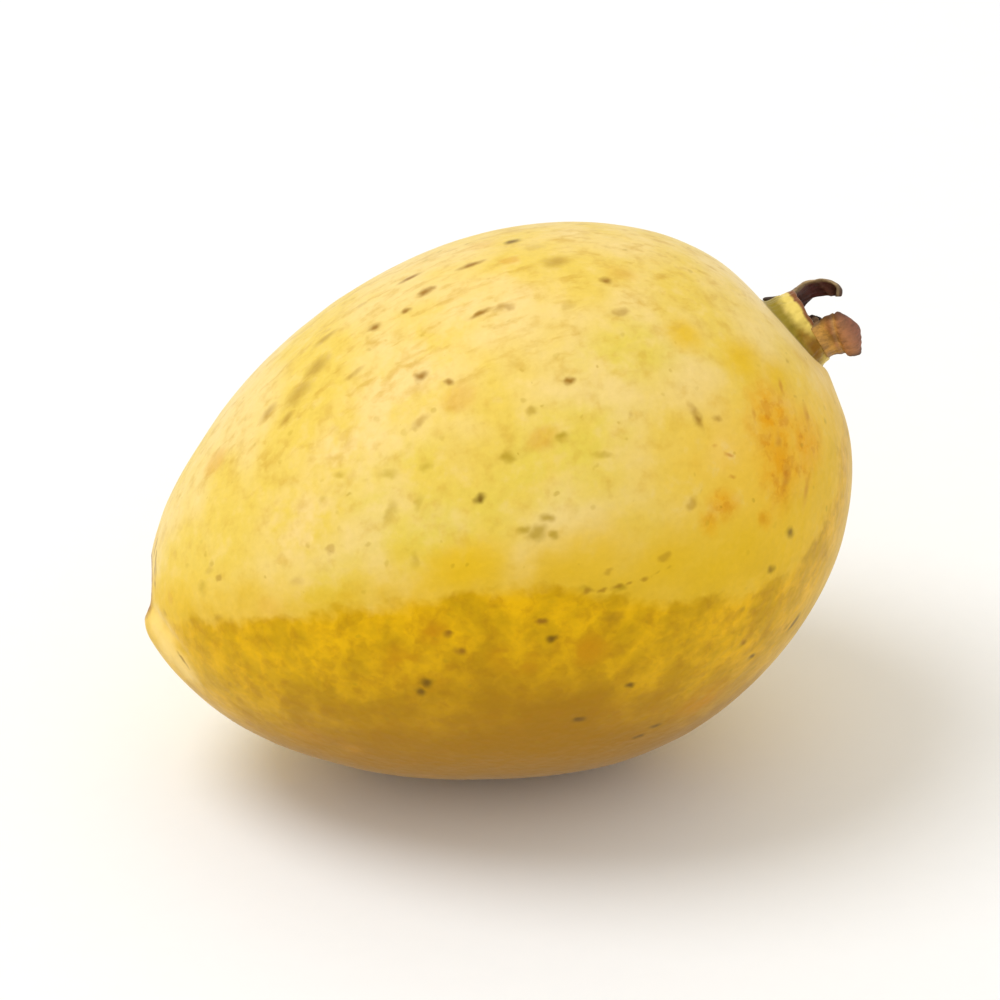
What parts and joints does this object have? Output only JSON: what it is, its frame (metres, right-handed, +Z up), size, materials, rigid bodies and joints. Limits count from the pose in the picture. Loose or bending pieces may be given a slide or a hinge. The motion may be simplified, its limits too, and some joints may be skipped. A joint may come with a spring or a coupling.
{
  "type": "guava",
  "caption": "Whole ripe guava lying on its side, an egg-shaped yellow fruit with dried calyx lobes at the blunt end and a stalk scar in a small hollow at the narrow end.",
  "frame": {"origin": "middle of the bounding box at its foot, on the surface that the fruit lies on", "axes": "+Z up, the fruit's long axis in the XZ plane and rising towards +X, the calyx at the +X end, the front towards -Y"},
  "size_m": [0.0816, 0.0616, 0.0621],
  "materials": {
    "skin": "waxy yellow fruit skin, satin, with green and orange mottling and brown freckles",
    "sepal": "dried leathery sepal, dull brown, darker inside",
    "dried_flower": "dried flower disc, dull dark brown",
    "cork": "corky stalk scar, dull brown"
  },
  "bodies": {
    "root": {"fruit": "skin", "sepal_upper": "sepal", "sepal_back": "sepal", "sepal_far": "sepal", "sepal_under": "sepal", "sepal_front": "sepal", "flower_remains": "dried_flower", "stalk_scar": "cork"}
  },
  "joints": []
}
